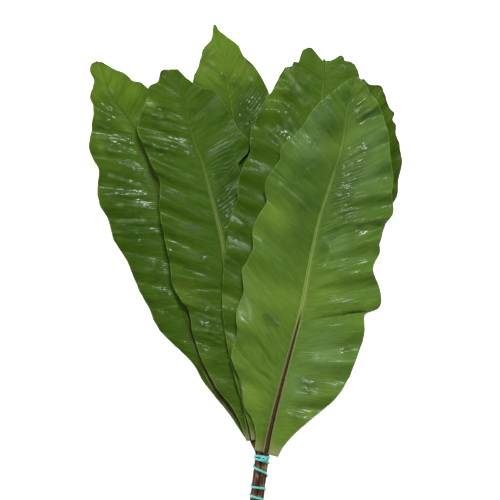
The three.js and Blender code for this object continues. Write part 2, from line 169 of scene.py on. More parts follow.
FRONDS["left"] = dict(
    rib=[(7, -196), (-5, -178), (-23, -154), (-43, -124), (-62, -78), (-75, -35), (-88, 24), (-97, 66),
        (-110, 115), (-123, 152), (-139, 186), (-160, 215), (-176, 256)],
    left=[(2, -199), (-7, -186), (-20, -166), (-37, -145), (-51, -128), (-61, -109), (-81, -88), (-104, -65),
        (-115, -42), (-130, -13), (-142, 16), (-158, 42), (-165, 66), (-175, 85), (-178, 109), (-176, 126),
        (-185, 143), (-188, 156), (-185, 176), (-183, 200), (-187, 216), (-182, 232), (-187, 246),
        (-184, 254), (-178, 257)],
    right=[(12, -194), (2, -174), (-10, -150), (-25, -114), (-37, -78), (-45, -30), (-49, 18), (-53, 60),
        (-59, 102), (-69, 150), (-85, 192), (-101, 214), (-117, 224), (-125, 231), (-136, 234), (-145, 242),
        (-158, 248), (-173, 256)],
    level=[6.9, 4.2, 3, 1.4, -0.3, 5],
    lift=dict(left=[1, 8, 10, 9, 2], right=[1, 3, 3, 4, 1]),
    wave=dict(
        left=(4, [20, 100, 170, 240, 310, 370, 435, 525, 600, 695, 755, 825, 900, 970]),
        right=(1.4, 8)),
    ripples=dict(
        left=[(20, 20), (60, 50), (100, 90), (150, 140), (200, 190), (245, 235), (290, 270), (345, 315),
            (385, 365), (440, 435), (500, 500), (545, 530), (572, 550), (605, 600), (635, 630), (660, 685),
            (700, 725), (735, 757), (770, 780), (800, 810), (845, 875), (890, 920), (940, 960), (980, 1000)],
        right=(20, 0.02)),
    folds=[(0.5, 2, (-175, 208), (-166, 200), (-159, 191)), (0.5, 2, (-181, 184), (-160, 173)),
        (0.6, 2, (-183, 167), (-145, 163)), (0.6, 2, (-184, 156), (-139, 144)),
        (0.4, 2, (-157, 138), (-130, 130)), (0.7, 2, (-175, 124), (-117, 104)),
        (0.8, 2, (-169, 101), (-115, 95)), (0.9, 2.2, (-160, 84), (-123, 84)),
        (0.9, 2.2, (-159, 64), (-115, 65)), (0.6, 2, (-163, 52), (-115, 55)),
        (0.8, 2.2, (-123, 8), (-88, 1)), (0.7, 4, (-109, -24), (-92, -23)),
        (0.7, 4, (-105, -43), (-79, -44)), (0.6, 4, (-151, 166), (-139, 161)),
        (0.7, 1.6, (-133, 188), (-123, 184)), (0.7, 1.6, (-123, 162), (-113, 158)),
        (0.7, 1.6, (-116, 140), (-106, 138)), (0.6, 1.8, (-165, 229), (-158, 214))],
    lead=0.05, bulge=0.4, brown_end=0.3, seat=(-0.5, -ROW_STEP), cut=2, ripple=0.8, rib_pale=0.05, film=0.12,
    tone=[0.75, 0.65, 0.6, 0.6, 0.8, 1.05],
    rib_line=[0.5, 0.6, 0.8, 1, 0.9, 0.1],
    pale=[(-169, 244, 17), (-181, 216, 7), (-134, 222, 10), (-173, 150, 7)],
    deep=[(-140, 60, 16), (-128, 20, 16)],
    scars=[(-178, 257, 8), (-115, 224, 10), (-103, 216, 10)],
    wet=[(-166, 198, 14), (-169, 178, 12), (-143, 163, 10), (-160, 162, 11), (-160, 149, 12),
        (-142, 133, 11), (-141, 113, 17), (-141, 97, 22), (-141, 84, 17), (-136, 64, 19), (-136, 53, 14),
        (-105, 5, 14), (-100, -24, 8), (-92, -44, 10)])
FRONDS["right"] = dict(
    rib=[(29, -174), (47, -138), (69, -90), (89, -36), (106, 18), (121, 72), (130, 126), (137, 174),
        (141, 210), (140, 235)],
    left=[(23, -172), (37, -138), (53, -90), (60, -30), (63, 18), (71, 72), (82, 132), (94, 174), (109, 208),
        (124, 228), (137, 236)],
    right=[(35, -176), (65, -150), (99, -104), (125, -50), (143, 4), (160, 36), (167, 58), (176, 83),
        (182, 96), (184, 116), (188, 138), (185, 156), (181, 170), (181, 181), (177, 187), (179, 194),
        (175, 199), (170, 209), (166, 221), (164, 227), (149, 229), (142, 236)],
    level=[8, 4.5, 3, 1.2, -0.3, 4],
    lift=dict(left=[0.5, 3, 3, 3, 1], right=[0.5, 5, 6, 7, 1]),
    wave=dict(left=(1.4, 8), right=(3, [0, 120, 240, 350, 450, 530, 600, 680, 760, 830, 900, 970])),
    ripples=dict(left=(20, 0.03), right=(21, 0.04)),
    lead=0.05, bulge=0.4, brown_end=0.3, seat=(1, 0), cut=-3, ripple=0.6, rib_pale=0.6, film=0.15,
    tone=[0.6, 0.6, 0.6, 0.6, 0.75, 0.85],
    rib_line=[0.4, 0.4, 0.4, 0.4, 0.3, 0.1],
    pale=[(181, 108, 7)],
    scars=[(169, 220, 24), (181, 186, 24), (187, 156, 24), (185, 114, 24), (176, 83, 20)])
FRONDS["back"] = dict(
    rib=[(16, -174), (15, -126), (10, -54), (4, 18), (-3, 90), (-10, 150), (-17, 204), (-27, 256),
        (-37, 301)],
    left=[(10.5, -174), (-1, -138), (-21, -90), (-34, -30), (-41, 30), (-50, 96), (-58, 162), (-64, 210),
        (-63, 234), (-56, 253), (-51, 270), (-41, 284), (-38.5, 300)],
    right=[(21.5, -174), (28, -138), (41, -90), (50, -30), (50, 30), (46, 96), (39, 162), (31, 212),
        (22, 232), (10, 252), (-2, 263), (-8, 274), (-22, 286), (-32, 294), (-35.5, 300)],
    level=[8, 5, 3.5, 2.5, 3, 10],
    lift=dict(left=[0.5, 2.5, 2.5, 5, 0.5], right=[0.5, 2.5, 3, 5, 0.5]),
    wave=dict(left=(1.8, 11), right=(1.8, 10)),
    ripples=dict(
        left=[(0, 20), (100, 120), (200, 220), (300, 320), (400, 420), (500, 520), (600, 620), (660, 680),
            (700, 730), (745, 775), (790, 820), (830, 860), (865, 900), (900, 940), (940, 975), (980, 1010)],
        right=(23, 0.03)),
    folds=[(0.5, 2, (-47, 272), (-39, 260)), (0.6, 3, (-31, 240), (-19, 238)),
        (0.6, 3, (-17, 232), (-5, 228)), (0.6, 2, (-49, 258), (-35, 251)), (0.6, 1.8, (1, 240), (10, 232))],
    lead=0.06, bulge=1, brown_end=0.25, seat=(0, 0), cut=5, ripple=0.55, rib_pale=0.8, film=0.1,
    tone=[0.5, 0.5, 0.5, 0.5, 0.8, 1.15],
    rib_line=[0.2, 0.25, 0.3, 0.3, 0.35, 0.1],
    combs=[(3, 212, 14), (7, 184, 12), (14, 202, 10)],
    pale=[(-37, 270, 26), (-49, 240, 14), (-7, 252, 17)],
    deep=[(2, 205, 13), (5, 180, 13), (-8, 190, 10)],
    scars=[(5, 258, 8)],
    wet=[(-43, 266, 10), (-25, 238, 10), (-11, 230, 8), (4, 218, 15), (5, 200, 16), (7, 180, 16),
        (16, 205, 14)])
FRONDS["second"] = dict(
    rib=[(8, -199), (2, -168), (-5, -126), (-13, -78), (-20, -24), (-26, 31), (-33, 64), (-43, 102),
        (-52, 136), (-58, 149), (-67, 180), (-75, 210), (-85, 247)],
    left=[(1, -199), (-7, -176), (-17, -158), (-32, -139), (-47, -114), (-57, -90), (-63, -70), (-69, -41),
        (-77, -30), (-87, -13), (-91, 16), (-97, 44), (-103, 76), (-103, 97), (-103, 114), (-113, 133),
        (-122, 154), (-130, 176), (-125, 196), (-119, 212), (-116, 226), (-106, 232), (-101, 245),
        (-89, 247)],
    right=[(14, -199), (20, -162), (25, -114), (25, -66), (20, -18), (13, 30), (5, 72), (-3, 108), (-8, 134),
        (4, 150), (3, 162), (-8, 175), (-20, 196), (-38, 222), (-50, 224), (-65, 232), (-73, 239),
        (-81, 247)],
    level=[11.8, 11.6, 12, 11.5, 11, 11],
    lift=dict(left=[1, 4, 5, 5, 1], right=[0.5, 1, 2, 3.5, 1]),
    wave=dict(
        left=(3.4, [50, 120, 200, 265, 325, 390, 450, 510, 580, 660, 745, 825, 900, 970]),
        right=(1.5, [0, 130, 250, 360, 460, 550, 630, 720, 810, 900, 980])),
    ripples=dict(
        left=[(0, 0), (50, 50), (95, 90), (140, 130), (185, 175), (225, 220), (248, 245), (275, 265),
            (305, 300), (370, 340), (410, 395), (440, 430), (480, 470), (530, 520), (575, 570), (620, 610),
            (665, 650), (710, 700), (755, 735), (785, 765), (820, 795), (850, 825), (880, 855), (915, 900),
            (950, 940), (980, 980)],
        right=[(0, 0), (100, 60), (200, 130), (300, 210), (380, 300), (460, 380), (500, 420), (540, 460),
            (575, 520), (620, 570), (660, 610), (700, 650), (740, 700), (780, 750), (820, 800), (860, 850),
            (900, 900), (940, 950), (980, 1000)]),
    folds=[(0.5, 1.8, (-115, 190), (-93, 188)), (0.5, 2, (-123, 199), (-81, 187)),
        (1, 2.2, (-119, 167), (-91, 161), (-73, 155), (-58, 143)), (0.5, 2, (-115, 155), (-82, 149)),
        (0.7, 5, (-99, 24), (-82, 25)), (0.9, 3, (-83, -22), (-52, -23)), (-0.9, 3, (-67, -16), (-22, -17)),
        (0.7, 2, (-63, -44), (-26, -58)), (0.7, 2, (-69, -64), (-26, -70)),
        (0.8, 3.5, (-47, -83), (-26, -84))],
    lead=0.06, bulge=1.4, brown_end=0.3, seat=(-1, 0), cut=-5, ripple=0.62, rib_pale=0.9, film=0.08,
    tone=[0.6, 0.65, 0.62, 0.6, 0.62, 0.75],
    rib_line=[0.7, 0.75, 0.8, 0.7, 0.25, 0.05],
    combs=[(-27, 148, 13), (-25, 122, 15), (-20, 96, 15), (-20, 72, 12)],
    pale=[(-69, -24, 14), (-83, -13, 10), (-55, -116, 17), (-115, 210, 12)],
    deep=[(-22, 146, 13), (-20, 124, 15), (-15, 100, 14), (-17, 76, 12), (-10, 146, 12)],
    scars=[(-88, 247, 10), (-103, 244, 8)],
    wet=[(-104, 188, 11), (-103, 196, 14), (-88, 158, 14), (-67, 150, 11), (-100, 151, 12), (-91, 24, 10),
        (-51, 23, 4), (-69, -23, 10), (-45, -52, 14), (-46, -67, 17), (-37, -84, 10), (-28, 124, 13),
        (-25, 90, 12), (-21, 70, 11), (1, 144, 7)])
FRONDS["split"] = dict(
    rib=[(16, -198), (20, -150), (27, -102), (39, -42), (52, 20), (64, 78), (76, 138), (87, 186), (93, 220),
        (94, 257)],
    left=[(7, -198), (3, -178), (-5, -151), (-14, -120), (-20, -92), (-26, -60), (-28, -30), (-27, 1),
        (-23, 35), (-21, 56), (-16, 77), (-10, 88), (-9, 107), (-4, 128), (5, 146), (5, 164), (11, 184),
        (21, 205), (31, 220), (37, 231), (42, 241), (47, 249)],
    right=[(21, -198), (34, -150), (64, -90), (92, -30), (107, 30), (119, 84), (129, 138), (135, 186),
        (139, 222), (135, 244)],
    level=[16.6, 16.6, 18.5, 19.5, 19, 17.5],
    lift=dict(left=[1.5, 4, 5, 4, 1], right=[0.5, 1, 2, 2.5, 1]),
    wave=dict(left=(3, [40, 130, 220, 300, 375, 450, 520, 590, 660, 750, 845, 920, 990]), right=(1.4, 8)),
    ripples=dict(
        left=[(0, 20), (50, 70), (100, 120), (150, 170), (200, 220), (250, 270), (290, 315), (335, 360),
            (380, 420), (425, 480), (480, 535), (535, 590), (590, 650), (645, 707), (690, 760), (730, 820),
            (780, 880), (850, 945), (910, 990), (970, 1040)],
        right=(21, 0.05)),
    folds=[(1, 2.6, (46, 247), (80, 202)), (0.6, 2, (39, 236), (76, 200)), (0.6, 2.4, (43, 191), (57, 163)),
        (0.6, 2.4, (50, 191), (63, 167)), (0.7, 2.4, (21, 182), (50, 150)), (0.6, 2, (-19, 72), (-5, 68)),
        (0.6, 2, (-9, 62), (8, 59)), (0.7, 2, (-21, 55), (-1, 41)), (0.7, 2.2, (-27, 24), (-7, 11)),
        (0.6, 2.5, (-31, -37), (-19, -41))],
    lead=0.05, bulge=1.6, brown_end=0.3, seat=(-0.5, ROW_STEP), cut=0, ripple=0.72, rib_pale=1, film=0.1,
    tone=[0.75, 0.65, 0.6, 0.6, 0.65, 0.75],
    rib_line=[0.5, 0.5, 0.5, 0.6, 0.8, 0.2],
    pale=[(-21, -30, 14), (-17, -84, 10), (2, -156, 17), (32, 216, 12)],
    deep=[(20, 150, 14), (11, 108, 14), (5, 72, 14), (2, 30, 13)],
    scars=[(125, 256, 12), (134, 244, 12)],
    wet=[(64, 222, 17), (58, 210, 14), (50, 178, 17), (35, 166, 13), (17, 115, 4), (-11, 70, 7), (1, 60, 8),
        (-10, 47, 10), (-16, 17, 11), (-25, -40, 7), (-15, -92, 7)],
    torn_end=[(-1, 0), (-0.8, 0), (-0.77, 5.3), (-0.57, 1.7), (-0.565, 16.8), (-0.4, 19.3), (-0.31, 17.6),
        (-0.03, 0), (0, 2.5), (0.06, 0.6), (0.18, 2.4), (0.3, 6), (0.47, 12.8), (0.58, 12.5), (0.59, 7.7),
        (0.77, 8.9), (0.9, 7), (1, 0)])
FRONDS["front"] = dict(
    rib=[(24, -214), (33, -173), (43, -133), (58, -77), (69, -35), (76, 5), (89, 67), (104, 114), (115, 151),
        (122, 196), (128, 220), (131, 238)],
    left=[(11, -210), (12, -192), (8, -172), (-2, -156), (-8, -122), (-17, -98), (-10, -68), (-11, -44),
        (-2, -20), (-4, 5), (9, 31), (8, 52), (16, 71), (25, 88), (23, 101), (25, 114), (32, 126), (41, 138),
        (43, 152), (56, 166), (70, 181), (76, 191), (91, 209), (109, 223), (129, 238)],
    right=[(39, -218), (47, -204), (61, -188), (80, -172), (106, -149), (122, -126), (134, -97), (142, -70),
        (143, -48), (160, -38), (161, -17), (152, 8), (161, 28), (160, 40), (167, 61), (176, 74), (175, 102),
        (177, 116), (173, 140), (172, 161), (166, 186), (159, 206), (149, 218), (143, 230), (135, 237)],
    level=[17, 21.5, 25, 27, 27, 25],
    lift=dict(left=[5, 8, 9, 8, 1], right=[3, 9, 11, 9, 1]),
    wave=dict(
        left=(4, [20, 100, 180, 265, 345, 440, 530, 610, 700, 845, 945, 1000]),
        right=(4.6, [10, 90, 165, 240, 315, 390, 460, 540, 600, 660, 745, 830, 900, 970])),
    ripples=dict(
        left=[(0, 0), (50, 40), (100, 100), (150, 180), (180, 235), (215, 300), (300, 385), (360, 430),
            (435, 460), (500, 520), (570, 575), (615, 622), (655, 655), (695, 710), (740, 755), (780, 800),
            (820, 845), (860, 890), (900, 925), (940, 955), (980, 990)],
        right=[(0, 0), (50, 50), (100, 90), (150, 140), (200, 190), (245, 240), (290, 290), (320, 335),
            (360, 380), (400, 420), (440, 460), (475, 500), (510, 545), (545, 600), (580, 630), (620, 660),
            (660, 690), (700, 730), (740, 770), (780, 810), (820, 850), (870, 900), (910, 940), (950, 970),
            (990, 1000)]),
    folds=[(1.08, 3.2, (79, 205), (99, 181), (116, 152)), (0.47, 1.6, (75, 167), (88, 148)),
        (0.94, 2, (27, 119), (47, 106), (65, 90), (82, 70)), (0.81, 2, (125, 181), (140, 192), (155, 199)),
        (0.68, 2.2, (115, 130), (125, 143), (135, 150), (154, 151)),
        (0.61, 2, (103, 98), (117, 104), (130, 104)), (0.81, 2.2, (99, 70), (119, 77), (140, 80)),
        (0.5, 2.4, (117, 53), (158, 60)), (0.54, 1.5, (89, 47), (100, 37), (103, 28), (98, 16), (85, 5)),
        (-1.22, 4, (99, 29), (131, 41), (167, 58)), (0.68, 1.6, (13, -47), (27, -44), (37, -56), (47, -65)),
        (1.3, 2.2, (64, -125), (81, -131)), (1.2, 2, (66, -133), (80, -141)),
        (0.68, 2, (111, -46), (124, -46)), (0.81, 2, (111, -91), (130, -84)),
        (0.94, 2.4, (45, -163), (74, -173)), (0.94, 2.2, (-3, -18), (4, -37), (9, -59)),
        (0.9, 6, (56, 155), (75, 128), (94, 102))],
    lead=0.06, bulge=2, brown_end=0.35, seat=(0.5, ROW_STEP), cut=-1, ripple=1.1, rib_pale=1, bloom=0.08,
    film=0.17,
    tone=[1.05, 1.02, 0.95, 0.8, 0.78, 0.88],
    rib_line=[1, 1, 1, 0.8, 0.5, 0.15],
    combs=[(126, 122, 14), (134, 142, 14), (114, 92, 12), (106, 50, 9)],
    painted_sheen=[(89, 190, 18), (76, 152, 20), (150, 162, 20), (143, 120, 20), (112, 36, 13), (95, -90, 26),
        (62, -132, 20), (-2, -36, 16)],
    pale=[(15, -30, 26), (2, -144, 26), (56, -30, 19), (155, 28, 8), (147, -44, 10), (92, -18, 19),
        (65, -186, 17), (119, 150, 24), (32, 72, 22), (62, -186, 22), (30, -200, 12)],
    deep=[(107, 174, 14), (95, 132, 16), (80, 84, 16), (65, 48, 14), (130, 208, 8), (150, 92, 10)],
    scars=[(-8, -140, 14), (160, -38, 8)],
    wet=[(98, 179, 17), (97, 203, 11), (81, 158, 7), (74, 130, 19), (55, 103, 12), (70, 83, 11),
        (140, 190, 12), (119, 215, 10), (125, 140, 12), (142, 150, 11), (116, 128, 10), (117, 102, 11),
        (119, 76, 14), (137, 56, 8), (95, 32, 8), (29, -53, 12), (73, -132, 12), (118, -46, 5),
        (121, -89, 8), (61, -169, 11), (157, 28, 7)])


def smoothstep(x, low, high):
    s = np.clip((x - low) / (high - low), 0, 1)
    return s * s * (3 - 2 * s)


def between(x, rise, fall):
    """1 from the end of the rise to the start of the fall, 0 outside them, and smooth in each."""
    return smoothstep(x, *rise) * (1 - smoothstep(x, *fall))


def unit(vectors):
    return vectors / np.linalg.norm(vectors, axis=1)[:, None]


def walked_along(points):
    """The distance from the first point to each point, along all of them."""
    return np.concatenate([[0], np.cumsum(np.linalg.norm(np.diff(points, axis=0), axis=1))])


def curve_through(points, place):
    """A smooth curve through plan points in millimetres, read at shares of its length, and its length."""
    p = np.array(points, float) * MM
    padded = np.vstack([2 * p[0] - p[1], p, 2 * p[-1] - p[-2]])

    def at(share):
        s = np.clip(share, 0, 1) * (len(p) - 1)
        i = np.minimum(s.astype(int), len(p) - 2)
        w = (s - i)[:, None]
        p0, p1, p2, p3 = (padded[i + k] for k in range(4))
        d0, d1, d2 = (np.linalg.norm(b - a, axis=1)[:, None] ** 0.5
                      for a, b in ((p0, p1), (p1, p2), (p2, p3)))
        t1 = ((p1 - p0) / d0 - (p2 - p0) / (d0 + d1) + (p2 - p1) / d1) * d1
        t2 = ((p2 - p1) / d1 - (p3 - p1) / (d1 + d2) + (p3 - p2) / d2) * d1
        return (p1 + t1 * w + (-3 * p1 + 3 * p2 - 2 * t1 - t2) * w ** 2
                + (2 * p1 - 2 * p2 + t1 + t2) * w ** 3)

    fine = np.linspace(0, 1, CURVE_SAMPLES)
    walked = walked_along(at(fine))
    return at(np.interp(np.asarray(place) * walked[-1], walked, fine)), walked[-1]


def profile(values, place):
    """A smooth value through evenly spaced values, read at places from 0 to 1."""
    v = np.array(values, float)
    padded = np.concatenate([[2 * v[0] - v[1]], v, [2 * v[-1] - v[-2]]])
    s = np.clip(place, 0, 1) * (len(v) - 1)
    i = np.minimum(s.astype(int), len(v) - 2)
    w = s - i
    a, b, c, d = (padded[i + k] for k in range(4))
    slope, next_slope = (c - a) / 2, (d - b) / 2
    bend = 3 * (c - b) - 2 * slope - next_slope + w * (2 * (b - c) + slope + next_slope)
    return b + w * (slope + w * bend)


def soft_noise(x, y, seed):
    """Smooth random values from -1 to 1 that change over about one unit of x and y."""
    n = NOISE_CELLS
    table = np.random.default_rng(seed).uniform(-1, 1, (n, n))
    i, j = np.floor(x).astype(int), np.floor(y).astype(int)
    u, v = smoothstep(x - i, 0, 1), smoothstep(y - j, 0, 1)
    near = table[i % n, j % n] * (1 - u) + table[(i + 1) % n, j % n] * u
    far = table[i % n, (j + 1) % n] * (1 - u) + table[(i + 1) % n, (j + 1) % n] * u
    return near * (1 - v) + far * v


def long_flank_wave(turn):
    """A wave with a crest at each whole number, whose flank towards the next crest is the longer one."""
    w = turn % 1
    long_flank = 0.5 * w / LONG_FLANK
    short_flank = 0.5 + 0.5 * (w - LONG_FLANK) / (1 - LONG_FLANK)
    return np.cos(2 * np.pi * np.where(w < LONG_FLANK, long_flank, short_flank))


def fold_height(plan, folds):
    """Height that creases add, in millimetres. Each crease follows a line through plan points."""
    height = np.zeros(len(plan))
    for top, half_width, *points in folds:
        line = np.array(points, float) * MM
        steps = np.linalg.norm(np.diff(line, axis=0), axis=1)
        walked = np.concatenate([[0], np.cumsum(steps)]) / steps.sum()
        nearest = np.full(len(plan), np.inf)
        place = np.zeros(len(plan))
        for k, (start, end) in enumerate(zip(line[:-1], line[1:])):
            share = np.clip((plan - start) @ (end - start) / steps[k] ** 2, 0, 1)
            distance = np.linalg.norm(plan - start - share[:, None] * (end - start), axis=1)
            closer = distance < nearest
            nearest[closer] = distance[closer]
            place[closer] = (walked[k] + share * (walked[k + 1] - walked[k]))[closer]
        ends = between(place, (0, 0.25), (0.75, 1))
        height += top * ends * np.exp(-(nearest / (half_width * MM)) ** 2)
    return height


def spot_share(plan, spots):
    """How much of the leaf is inside round spots with soft edges: 1 in the middle of one and 0 far off."""
    outside = np.ones(len(plan))
    for x, y, radius in spots:
        distance = np.linalg.norm(plan - np.array([x, y]) * MM, axis=1)
        outside *= 1 - np.exp(-(distance / (radius * MM)) ** 2)
    return 1 - outside


def brown_rib_radius(frond, t):
    taper = np.clip(t / frond["brown_end"], 0, 1) ** RIB_TAPER_POWER
    return STALK_RADIUS + (RIB_TIP_RADIUS - STALK_RADIUS) * taper


def vertex_places(mesh):
    co = np.zeros(len(mesh.vertices) * 3)
    mesh.vertices.foreach_get("co", co)
    return co.reshape(-1, 3)


def set_vertices(mesh, co):
    mesh.vertices.foreach_set("co", np.asarray(co, float).ravel())
    mesh.update()


def set_uv(mesh, per_vertex):
    """Lays out the mesh's own UV map, in metres of real surface."""
    corner = np.zeros(len(mesh.loops), int)
    mesh.loops.foreach_get("vertex_index", corner)
    mesh.uv_layers[0].data.foreach_set("uv", per_vertex[corner].ravel())


def add_primitive(name, add, **settings):
    bpy.ops.object.select_all(action="DESELECT")
    add(**settings)
    piece = bpy.context.object
    piece.name = name
    piece.data.name = name
    return piece


def finish_piece(piece, slot, cad_node, *materials):
    bpy.ops.object.shade_smooth()
    for material in materials:
        piece.data.materials.append(material)
    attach(piece, "root")
    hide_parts(cad_node)


def make_blade(name, frond, seed):
    """A blade: one sheet from margin to margin, laid along its rib, waved and then given its thickness."""
    piece = add_primitive(f"{name}_blade", bpy.ops.mesh.primitive_grid_add, x_subdivisions=2 * HALF_COLUMNS,
                          y_subdivisions=STATIONS, size=2)
    mesh = piece.data
    grid = vertex_places(mesh)
    t = (grid[:, 1] + 1) / 2
    column = np.rint(grid[:, 0] * HALF_COLUMNS)
    is_left = column < 0
    halves = (("left", is_left), ("right", ~is_left))
    side_sign = np.where(is_left, -1, 1)
    beside = np.abs(column)

    rib, length = curve_through(frond["rib"], t)
    ahead = curve_through(frond["rib"], np.minimum(t + TANGENT_STEP, 1))[0]
    behind = curve_through(frond["rib"], np.maximum(t - TANGENT_STEP, 0))[0]
    tangent = unit(ahead - behind)
    margin_place = t + frond["lead"] * 4 * t * (1 - t)
    left, right = (curve_through(frond[side], margin_place)[0] for side, _ in halves)
    to_margin = np.where(is_left[:, None], left, right) - rib
    offset = np.abs(to_margin[:, 0] * tangent[:, 1] - to_margin[:, 1] * tangent[:, 0])

    # The first columns lie on the rib and the others between it and the margin
    green_radius = GREEN_RIB_RADIUS * (1 - GREEN_RIB_TAPER * t)
    widest = np.maximum(brown_rib_radius(frond, t), green_radius)
    rib_radius = np.where(t < frond["brown_end"], widest, green_radius)
    edge = np.minimum(rib_radius / np.maximum(offset, 1e-6), RIB_MOST)
    across = np.clip((beside - RIB_COLUMNS) / (HALF_COLUMNS - RIB_COLUMNS), 0, 1)
    on_rib = np.clip(beside / RIB_COLUMNS, 0, 1)
    reach = edge * on_rib + (1 - edge) * across
    ragged = soft_noise(t * length / RAGGED_SIZE, 3 * side_sign + 10, seed + 4) * smoothstep(across, 0.8, 1)
    plan = rib + to_margin * (reach + RAGGED * ragged / np.maximum(offset, 10 * MM))[:, None]

    pull = np.zeros_like(t)
    if "torn_end" in frond:
        places, pulls = np.array(frond["torn_end"]).T
        pull = np.interp(side_sign * reach, places, pulls) * MM * smoothstep(t, *TORN_PART) ** 2
        plan = plan + tangent * pull[:, None]

    # The form that the solid has
    pulled = t + pull / length
    arch = across * (frond["bulge"] + (1 - frond["bulge"]) * across)
    lift = np.where(is_left, *(profile(frond["lift"][side], t) for side, _ in halves))
    wave = np.zeros_like(t)
    for side, chosen in halves:
        height, crests = frond["wave"][side]
        crests = crest_places(crests)
        turn = np.interp(pulled, crests, np.arange(len(crests)))
        wave = np.where(chosen, height * np.cos(2 * np.pi * turn), wave)
    waved = across ** WAVE_RISE * between(t, WAVES_IN, WAVES_OUT) * wave
    z = profile(frond["level"], t) + arch * lift + waved

    # The side veins leave the rib at a slant. Every point is on the vein that starts at one place of the rib
    turn, vein = np.zeros_like(t), np.zeros_like(t)
    for side, chosen in halves:
        at_rib, at_margin = ripple_places(frond["ripples"][side])
        for k in np.unique(beside[chosen]):
            row = chosen & (beside == k)
            places = at_rib + (at_margin - at_rib) * across[row][0]
            turn[row] = np.interp(pulled[row], places, np.arange(len(places)))
            vein[row] = np.interp(pulled[row], places, at_rib)
    along = vein * length
    out = side_sign * reach * offset

    # Ripples of uneven height along the side veins, and single creases
    spots = {kind: spot_share(plan, frond.get(kind, []))
             for kind in ("wet", "combs", "painted_sheen", "pale", "deep", "scars")}
    wet, combed = spots["wet"], spots["combs"]
    unlike = soft_noise(0.8 * turn, side_sign * (2 + 1.6 * across) + 9, seed)
    strength = frond["ripple"] * (RIPPLE_MEAN + RIPPLE_SPREAD * unlike)
    inner = between(t, RIPPLES_IN, RIPPLES_OUT)
    folds = frond.get("folds", [])
    rippled = strength * long_flank_wave(turn) * smoothstep(across, *RIPPLES_RISE) * inner
    z += rippled + fold_height(plan, folds)

    # Crinkles in patches and wet spots, combs of fine ridges, speckles, and small puckers near the margin.
    # What is added to a noise's second place keeps the two halves of the blade apart
    fine_rise = smoothstep(across, *FINE_RISE)
    patch = soft_noise(along / PATCH_SIZE[0], reach * offset / PATCH_SIZE[1] + 20, seed + 1)
    crinkled = CRINKLED_PATCH * smoothstep(patch, -0.1, 0.7) + CRINKLED_WET * wet
    crinkle = soft_noise(along / CRINKLE_SIZE[0], out / CRINKLE_SIZE[1] + 30, seed + 2)
    z += CRINKLE_HEIGHT * crinkle * crinkled * inner * fine_rise
    uneven = soft_noise(along / UNEVEN_SIZE[0], out / UNEVEN_SIZE[1] + 40, seed + 9)
    comb = combed * np.cos(2 * np.pi * (along / COMB_STEP + 0.5 * uneven))
    z += COMB_HEIGHT * comb * (0.8 + 0.6 * uneven) * fine_rise
    speckle = soft_noise(plan[:, 0] / SPECKLE_SIZE + 7, plan[:, 1] / SPECKLE_SIZE, seed + 6)
    z += SPECKLE_HEIGHT * wet * speckle * inner * fine_rise
    pucker = soft_noise(along / PUCKER_SIZE, across * 5 + 3 * side_sign, seed + 3)
    z += PUCKER_HEIGHT * pucker * smoothstep(across, *PUCKERS_RISE) * inner

    # The green rib is a low round ridge with a line down its middle and a furrow on either side. The brown
    # rib lies in a hollow
    ridge = np.sqrt(np.maximum(1 - on_rib ** 2, 0)) - 0.35 * np.exp(-(on_rib / 0.3) ** 2)
    from_edge = across * offset
    furrow = np.exp(-(from_edge / FURROW_WIDTH) ** 2) * smoothstep(on_rib, 0.5, 1)
    past_brown = t - frond["brown_end"]
    is_green = smoothstep(past_brown, -0.012, 0.02)
    ridge_height = is_green * (RIDGE_LEAST + RIDGE_STEEPNESS * rib_radius / MM)
    z += ridge * (ridge_height - (1 - is_green) * HOLLOW_DEPTH)
    z -= FURROW_DEPTH * furrow * (1 - 0.5 * t)

    z = np.maximum(z * MM, BLADE_THICKNESS / 2)
    set_vertices(mesh, np.column_stack([plan, z]))

    # What the skin's colour and film follow
    from_margin = (1 - across) * offset
    scarred = np.clip(0.6 + soft_noise(along / SCAR_SIZE, 3 * side_sign + 20, seed + 8), 0, 1)
    broken = 0.55 + 0.75 * soft_noise(plan[:, 0] / BROKEN_SIZE, plan[:, 1] / BROKEN_SIZE, seed + 7)
    # The crests of narrow creases and combs are painted paler, a painted highlight that stands for their
    # glints
    narrow = [fold for fold in folds if fold[1] < NARROW_FOLD]
    crest = np.clip(fold_height(plan, narrow) + 0.9 * comb, 0, 1)
    brown_core = (1 - smoothstep(past_brown, -0.01, 0.05)) * (1 - smoothstep(on_rib, 0.15, 0.5))
    set_uv(mesh, np.column_stack([out, along]))
    for attribute, values in {
            # from_margin is shortened near the foot, so the pale rim grows wider there as painted light
            "from_margin": from_margin * (0.4 + 0.6 * smoothstep(t, 0.05, 0.3)),
            "from_rib": from_edge + (on_rib - 1) * rib_radius,
            "rib_place": on_rib + from_edge / rib_radius,
            "is_brown": 1 - smoothstep(past_brown, -0.08, 0.02),
            "brown_core": brown_core,
            "scar": spots["scars"] * scarred * (1 - smoothstep(from_margin, *SCAR_DEPTH)),
            "foot": 1 - smoothstep(t * length, *DRY_FOOT),
            # How light the green is along the blade: partly its own tone, partly painted shade where the
            # frond lies under others
            "tone": profile(frond["tone"], t),
            "rib_line": profile(frond["rib_line"], t),
            "rib_pale": np.full_like(t, frond["rib_pale"]),
            # Waxy bloom, with painted sheen added in the spots of painted sheen
            "bloom": frond.get("bloom", 0) + PAINTED_SHEEN * spots["painted_sheen"],
            "film": frond["film"] + FILM_WET * wet + FILM_COMBED * combed,
            # Painted highlight on the crests of narrow creases and combs
            "crease": crest * np.clip(broken, 0, 1),
            "pale": spots["pale"],
            # Spots of painted shade: a deeper green where shade falls
            "deep": spots["deep"]}.items():
        mesh.attributes.new(attribute, "FLOAT", "POINT").data.foreach_set("value", values.astype(np.float32))

    solidify = piece.modifiers.new("thickness", "SOLIDIFY")
    solidify.thickness = BLADE_THICKNESS
    solidify.offset = 0
    solidify.material_offset = 1
    bpy.ops.object.modifier_apply(modifier=solidify.name)
    finish_piece(piece, "blade", f"frond_{name}_blade", upper_side, under_side)


